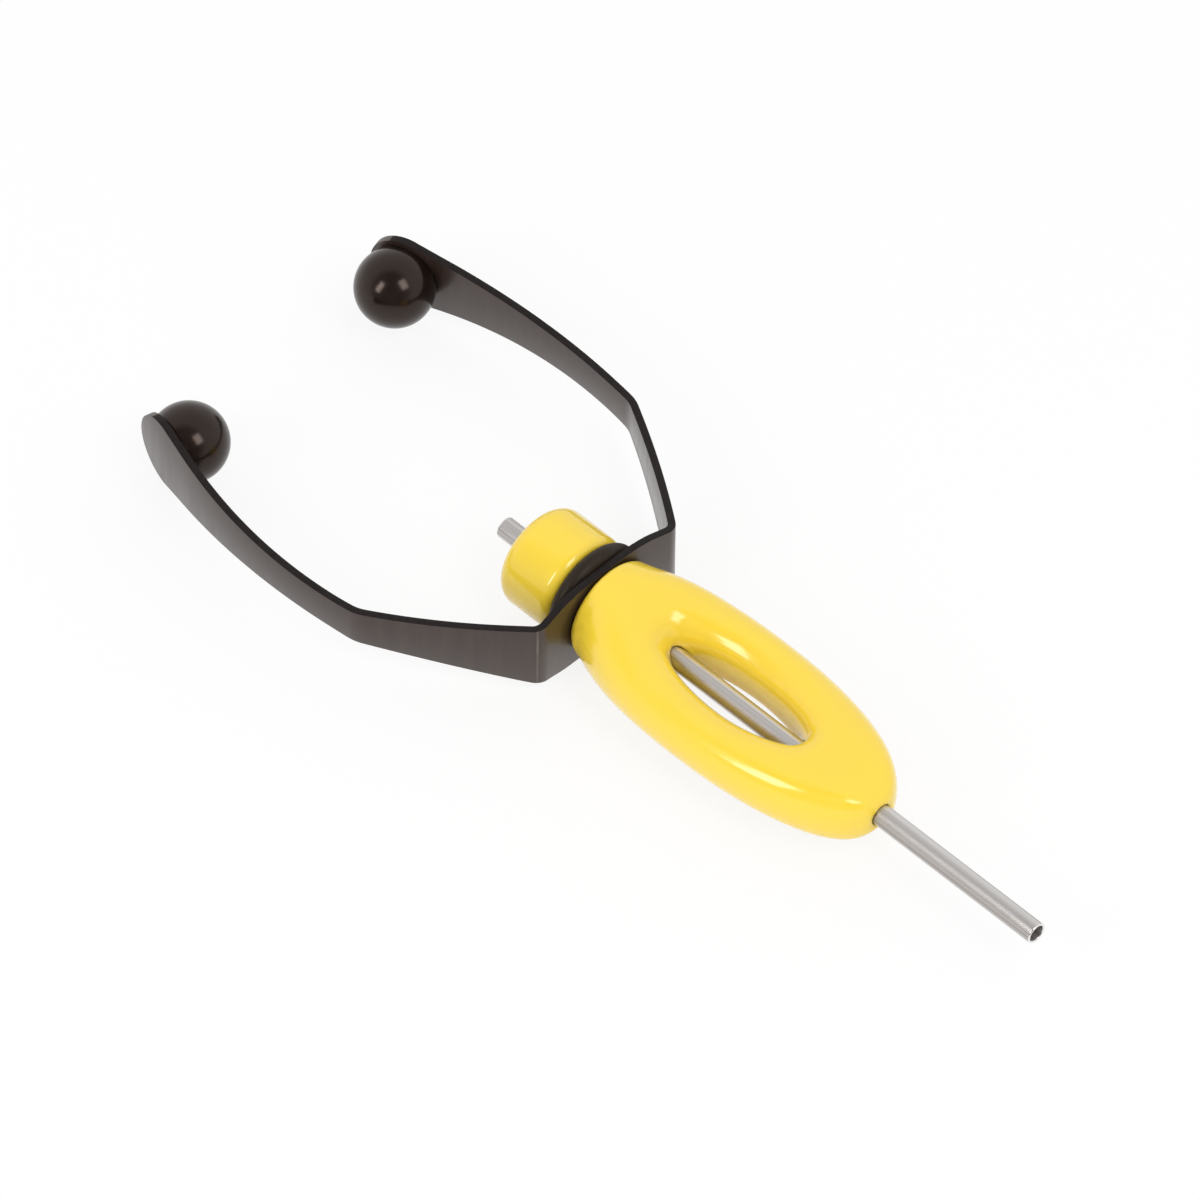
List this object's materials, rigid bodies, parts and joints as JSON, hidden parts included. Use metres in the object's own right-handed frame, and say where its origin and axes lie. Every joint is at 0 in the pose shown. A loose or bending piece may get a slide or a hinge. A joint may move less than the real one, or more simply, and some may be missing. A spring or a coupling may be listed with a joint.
{
  "type": "fly tying bobbin holder",
  "caption": "Bobbin holder for fly tying: oval grip with a lens-shaped window, a steel thread tube through it, and a sprung fork with ball beads held by a tension knob.",
  "frame": {"origin": "on the thread tube's axis, level with the fork's two front corners", "axes": "+X along the tube towards its tip, +Y towards the fork's left arm, +Z square to the fork's plane, through the grip's window"},
  "size_m": [0.1232, 0.0466, 0.0134],
  "materials": {
    "yellow_gloss": "opaque yellow, high gloss",
    "tube_steel": "drawn stainless steel tube with fine lengthwise lines",
    "plain_steel": "turned steel",
    "black_strip": "spring steel with a satin black coat",
    "black_bead": "black plastic with a soft gloss",
    "black_rubber": "black rubber",
    "insert_brass": "turned brass"
  },
  "bodies": {
    "handle": {"grip": "yellow_gloss", "thread_tube": "tube_steel", "hollow_screw": "plain_steel", "stop_ring": "plain_steel"},
    "fork": {"fork_plate": "black_strip"},
    "arm_left": {"fork_arm_left": "black_strip", "bead_left": "black_bead", "bead_stud_left": "plain_steel"},
    "arm_right": {"fork_arm_right": "black_strip", "bead_right": "black_bead", "bead_stud_right": "plain_steel"},
    "washer": {"rubber_washer": "black_rubber"},
    "tension_knob": {"knob": "yellow_gloss", "knob_insert": "insert_brass"}
  },
  "joints": [
    {"name": "fork_swivel", "type": "hinge", "parent": "handle", "child": "fork", "pos_m": [0, 0, 0], "axis": [1, 0, 0], "continuous": true},
    {"name": "arm_left_flex", "type": "hinge", "parent": "fork", "child": "arm_left", "pos_m": [-0.00242, 0.01239, 0], "axis": [0, 0, -1], "range_deg": [-3, 8], "stiffness_Nm_per_rad": 2},
    {"name": "arm_right_flex", "type": "hinge", "parent": "fork", "child": "arm_right", "pos_m": [-0.00242, -0.01239, 0], "axis": [0, 0, 1], "range_deg": [-3, 8], "stiffness_Nm_per_rad": 2},
    {"name": "washer_slide", "type": "slide", "parent": "handle", "child": "washer", "axis": [-1, 0, 0], "range_m": [0, 0.0008]},
    {"name": "knob_turn", "type": "hinge", "parent": "washer", "child": "tension_knob", "pos_m": [0, 0, 0], "axis": [-1, 0, 0], "range_deg": [0, 288]}
  ],
  "couplings": [
    {"joint": "knob_turn", "follows": "washer_slide", "rad_per_m": 6283.2}
  ]
}
